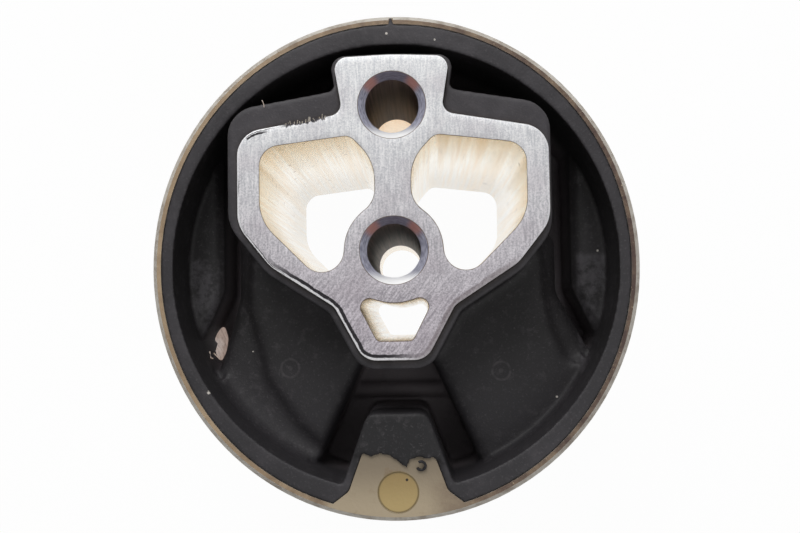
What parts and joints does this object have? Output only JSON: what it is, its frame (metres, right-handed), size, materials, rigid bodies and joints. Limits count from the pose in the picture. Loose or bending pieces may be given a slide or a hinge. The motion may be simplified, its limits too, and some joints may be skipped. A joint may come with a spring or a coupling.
{
  "type": "round transmission mount",
  "caption": "Round rubber bush mount: oval nylon outer ring, black rubber legs and webs, and a hollow extruded aluminium core with bolt holes.",
  "frame": {"origin": "centre of the outer ring, at the height of the core's back end face, on which the mount stands", "axes": "+Z along the mount's axis out of the front face; +Y from the stop tower towards the core's bolt lug; +X to the right seen from the front"},
  "size_m": [0.0964, 0.1, 0.072],
  "materials": {
    "ring_nylon": "natural glass-filled nylon, soiled brown at its edges",
    "mount_rubber": "moulded black rubber, matt with a slight sheen",
    "core_aluminium": "extruded, sawn and brushed end faces"
  },
  "bodies": {
    "root": {"outer_ring": "ring_nylon", "rubber_body": "mount_rubber", "inner_core": "core_aluminium"}
  },
  "joints": []
}
